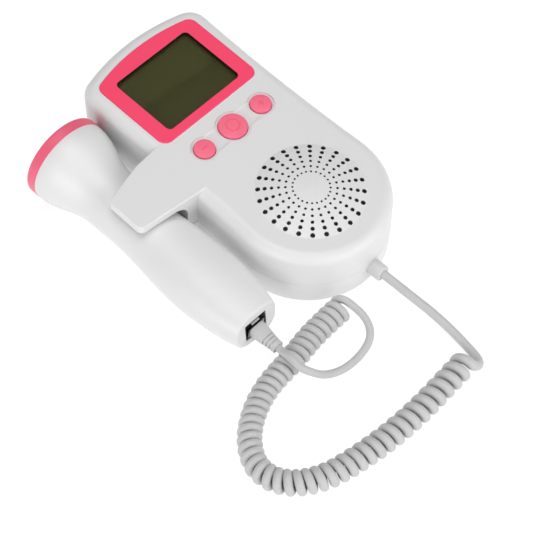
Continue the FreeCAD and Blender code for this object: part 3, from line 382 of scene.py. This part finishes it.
def facePlace(tree):
    # object coordinates in the face's own frame: the loudspeaker's axis is Z, and the face's plane is Z = 0
    place = addNode(tree, "ShaderNodeTexCoord").outputs["Object"]
    turn = (math.radians(face["tilt"]), 0.0, 0.0)
    return addNode(tree, "ShaderNodeMapping", {"vector_type": "TEXTURE"}, Vector=place, Location=face["middle"],
                   Rotation=turn)


def paintWallShade(material, distance, reach, colour):
    # paints shade: a plain colour on what stands square to the face, where the distance is under the reach
    tree = material.node_tree
    turn = math.radians(face["tilt"])
    steepEnough = 0.6    # a wall is painted where its normal points less than this along the face's own
    facing = addNode(tree, "ShaderNodeVectorMath", {"operation": "DOT_PRODUCT"},
                     n0=addNode(tree, "ShaderNodeNewGeometry").outputs["True Normal"],
                     n1=(0.0, -math.sin(turn), math.cos(turn)))
    level = addNode(tree, "ShaderNodeMath", {"operation": "ABSOLUTE"}, n0=facing.outputs["Value"])
    steep = addNode(tree, "ShaderNodeMath", {"operation": "LESS_THAN"}, n0=level, n1=steepEnough)
    inside = addNode(tree, "ShaderNodeMath", {"operation": "LESS_THAN"}, n0=distance, n1=reach)
    # lays the painted shade over the finish where the mask is 1
    mask = addNode(tree, "ShaderNodeMath", {"operation": "MULTIPLY"}, n0=inside, n1=steep)
    base = tree.nodes["Principled BSDF"].inputs["Base Color"]
    over = addNode(tree, "ShaderNodeMix", {"data_type": "RGBA"}, Factor=mask, n6=base.links[0].from_socket,
                   n7=linear(colour))
    tree.links.new(over.outputs[2], base)


# ABS from a spark-eroded mould: white, satin; the real grain is 0.1 mm and is drawn coarser to show
whiteAbs = {"colour": "#E1E1E1", "second": "#DDDDDD", "patch": 25.0, "roughness": 0.42, "spread": 0.05,
            "grain": 0.45, "depth": 0.012, "more": {"IOR": 1.53}}
casingAbs = finish("casingAbs", **whiteAbs)
# the same ABS, with the walls of the sound holes a darker grey, as deep shade
coverAbs = finish("coverAbs", **whiteAbs)
grille = {"reach": 24.9 * mm, "shade": "#626263"}
coverTree = coverAbs.node_tree
flatPlace = addNode(coverTree, "ShaderNodeVectorMath", {"operation": "MULTIPLY"}, n0=facePlace(coverTree),
                    n1=(1, 1, 0))
fromAxis = addNode(coverTree, "ShaderNodeVectorMath", {"operation": "LENGTH"}, n0=flatPlace)
# the sound holes' walls get a painted shade of grey
paintWallShade(coverAbs, fromAxis.outputs["Value"], grille["reach"], grille["shade"])

# ABS frame with a clear coat: strong pink, smooth, sharp highlights; the walls round the window are painted near
# black as shade
bezelAbs = finish("bezelAbs", "#FF4A71", "#FC456C", patch=12.0, roughness=0.22, spread=0.03, grain=0.6,
                  depth=0.004, more={"IOR": 1.53})
# the reach is a share of the half sizes
# the window's walls get a painted shade of this near-black colour
window = {"middle": (0.0, 83.5 * mm, 0.0), "half": (22.6 * mm, 17.9 * mm, 1.0), "reach": 1.0, "shade": "#1B1314"}
bezelTree = bezelAbs.node_tree
fromMiddle = addNode(bezelTree, "ShaderNodeVectorMath", {"operation": "SUBTRACT"}, n0=facePlace(bezelTree),
                     n1=window["middle"])
shares = addNode(bezelTree, "ShaderNodeVectorMath", {"operation": "DIVIDE"}, n0=fromMiddle, n1=window["half"])
aside = addNode(bezelTree, "ShaderNodeVectorMath", {"operation": "ABSOLUTE"}, n0=shares)
sides = addNode(bezelTree, "ShaderNodeSeparateXYZ", Vector=aside).outputs
larger = addNode(bezelTree, "ShaderNodeMath", {"operation": "MAXIMUM"}, n0=sides["X"], n1=sides["Y"])
paintWallShade(bezelAbs, larger, window["reach"], window["shade"])
# ABS ring, satin, a duller pink
ringAbs = finish("ringAbs", "#EE6480", "#E85D79", patch=12.0, roughness=0.38, spread=0.05, grain=0.45,
                 depth=0.01, more={"IOR": 1.53})
# silicone keys: soft pink that glows a little at its edges
keySilicone = finish("keySilicone", "#FB748F", "#F86D88", patch=5.0, roughness=0.40, spread=0.05, grain=0.35,
                     depth=0.01, more={"IOR": 1.43, "Subsurface Weight": 0.15,
                                       "Subsurface Radius": (0.002, 0.0008, 0.0006), "Subsurface Scale": 1.0})
# thin clear acrylic: almost only its gloss shows
windowAcrylic = finish("windowAcrylic", "#2A2A20", "#26261C", patch=20.0, roughness=0.06, spread=0.01, grain=1.0,
                       depth=0.0002, more={"IOR": 1.49, "Alpha": 0.12})
# display glass under its polariser: flat, very dark olive
displayGlass = finish("displayGlass", "#5B5C29", "#575827", patch=30.0, roughness=0.35, spread=0.02, grain=0.8,
                      depth=0.001, more={"IOR": 1.5})
# soft PVC of the jacket and the boot: pale grey, matt, slightly rubbery
leadPvc = finish("leadPvc", "#C4C4C4", "#BEBEBE", patch=8.0, roughness=0.5, spread=0.06, grain=0.3,
                 depth=0.01, more={"IOR": 1.53})
# harder PVC of the relief: a little lighter, smoother
reliefPvc = finish("reliefPvc", "#D0D0D0", "#CACACA", patch=8.0, roughness=0.42, spread=0.05, grain=0.35,
                   depth=0.01, more={"IOR": 1.53})
# polycarbonate plug: clear and smooth, so that the dark socket shows through it
plugPolycarbonate = finish("plugPolycarbonate", "#E4E8E8", "#E0E4E4", patch=6.0, roughness=0.10, spread=0.03,
                           grain=0.5, depth=0.003, more={"IOR": 1.58, "Transmission Weight": 1.0})
# its latch, frosted by the mould: milky, with bright edges
latchPolycarbonate = finish("latchPolycarbonate", "#F6F7F7", "#F2F3F3", patch=6.0, roughness=0.25, spread=0.05,
                            grain=0.4, depth=0.006, more={"IOR": 1.58, "Transmission Weight": 0.35})
# glass-filled nylon in the socket: black, matt
socketNylon = finish("socketNylon", "#080809", "#050506", patch=6.0, roughness=0.7, spread=0.05, grain=0.25,
                     depth=0.01, more={"IOR": 1.53, "Specular IOR Level": 0.25})
# natural polystyrene inside the case: plain off-white
innerPolystyrene = finish("innerPolystyrene", "#DEDCD4", "#D8D6CE", patch=12.0, roughness=0.5, spread=0.05,
                          grain=0.4, depth=0.01, more={"IOR": 1.59})
# solder mask over glass cloth: dark green, half gloss
boardMask = finish("boardMask", "#14532B", "#0F4724", patch=4.0, roughness=0.35, spread=0.08, grain=0.25,
                   depth=0.01, more={"IOR": 1.5})
# moulded epoxy packages: black, matt
chipEpoxy = finish("chipEpoxy", "#1C1C1D", "#242425", patch=3.0, roughness=0.6, spread=0.05, grain=0.2,
                   depth=0.01, more={"IOR": 1.55})
# zinc-plated steel screws: bright, slightly streaky
zincSteel = finish("zincSteel", "#B9BABC", "#A9ABAE", patch=2.0, roughness=0.3, spread=0.08, grain=0.2,
                   depth=0.004, more={"Metallic": 1.0})
# pressed steel of the loudspeaker, passivated dark
pressedSteel = finish("pressedSteel", "#4A4B4D", "#3F4042", patch=6.0, roughness=0.38, spread=0.08, grain=0.3,
                      depth=0.006, more={"Metallic": 1.0})
# pulp cone, dyed black: fibrous, quite matt
paperCone = finish("paperCone", "#201F1E", "#2B2A28", patch=2.0, roughness=0.85, spread=0.05, grain=0.25,
                   depth=0.03, more={"IOR": 1.45})
# woven polyester threads, grey, with a faint sheen along them
clothPolyester = finish("clothPolyester", "#8E8E90", "#969698", patch=1.5, roughness=0.7, spread=0.06, grain=0.15,
                        depth=0.01, more={"IOR": 1.54, "Sheen Weight": 0.2})
# sintered ferrite: dark grey, dull
ferrite = finish("ferrite", "#37383A", "#2F3032", patch=3.0, roughness=0.6, spread=0.08, grain=0.3,
                 depth=0.01, more={"IOR": 2.3})
# shrink sleeve on the cells: smooth blue film
cellSleeve = finish("cellSleeve", "#3B6FA8", "#36679D", patch=20.0, roughness=0.25, spread=0.05, grain=0.5,
                    depth=0.004, more={"IOR": 1.53})
# nickel-plated spring steel: warm and bright
nickelSteel = finish("nickelSteel", "#C2BDB2", "#B5B0A6", patch=3.0, roughness=0.25, spread=0.06, grain=0.3,
                     depth=0.003, more={"Metallic": 1.0})
# gold-plated contacts
goldPlate = finish("goldPlate", "#E0B45A", "#D6A94E", patch=1.0, roughness=0.25, spread=0.05, grain=0.2,
                   depth=0.002, more={"Metallic": 1.0})
# filled silicone over the crystals: pale grey, rubbery, matt
lensSilicone = finish("lensSilicone", "#C9CACC", "#C2C3C5", patch=10.0, roughness=0.5, spread=0.05, grain=0.4,
                      depth=0.01, more={"IOR": 1.43})
# fired piezo ceramic: cream, dull
crystalCeramic = finish("crystalCeramic", "#D9CDB4", "#CFC2A8", patch=4.0, roughness=0.55, spread=0.05, grain=0.2,
                        depth=0.01, more={"IOR": 2.0})
# damping foam: dark grey, open and rough
backingFoam = finish("backingFoam", "#55565A", "#4B4C50", patch=1.0, roughness=0.9, spread=0.04, grain=0.4,
                     depth=0.08, more={"IOR": 1.4})
# PVC sleeve of the inner wires: red, smooth
wireSleeve = finish("wireSleeve", "#B8312F", "#A92B29", patch=5.0, roughness=0.4, spread=0.05, grain=0.3,
                    depth=0.004, more={"IOR": 1.53})

finishes = {
    coverAbs: ("front_cover",),
    casingAbs: ("rear_cover", "battery_door", "probe_upper_shell", "probe_lower_shell"),
    bezelAbs: ("display_bezel",),
    ringAbs: ("probe_ring",),
    keySilicone: ("left_button", "centre_button", "right_button"),
    windowAcrylic: ("display_lens",),
    displayGlass: ("display_panel",),
    innerPolystyrene: ("display_holder", "left_plunger", "centre_plunger", "right_plunger"),
    boardMask: ("main_board", "probe_board"),
    chipEpoxy: ("board_parts", "probe_board_parts", "switch_housings"),
    zincSteel: ("board_screws", "cover_screws", "probe_screws"),
    pressedSteel: ("speaker_frame",),
    paperCone: ("speaker_cone",),
    ferrite: ("speaker_magnet",),
    cellSleeve: ("left_battery", "right_battery"),
    nickelSteel: ("contact_springs", "contact_plates"),
    goldPlate: ("jack_contacts", "plug_contacts"),
    reliefPvc: ("strain_relief",),
    leadPvc: ("inner_tail", "unit_lead", "coiled_lead", "probe_lead", "plug_boot"),
    lensSilicone: ("probe_lens",),
    crystalCeramic: ("transducer_discs",),
    backingFoam: ("transducer_backing",),
    wireSleeve: ("probe_wires",),
    socketNylon: ("jack_housing",),
    plugPolycarbonate: ("plug_body",),
    latchPolycarbonate: ("plug_latch",),
}
for material, names in finishes.items():
    for name in names:
        nodes[name].data.materials.clear()
        nodes[name].data.materials.append(material)
curlyLead.data.materials.append(leadPvc)
wovenCloth(cloth, clothPolyester)
print("materials:", len(finishes) + 1)
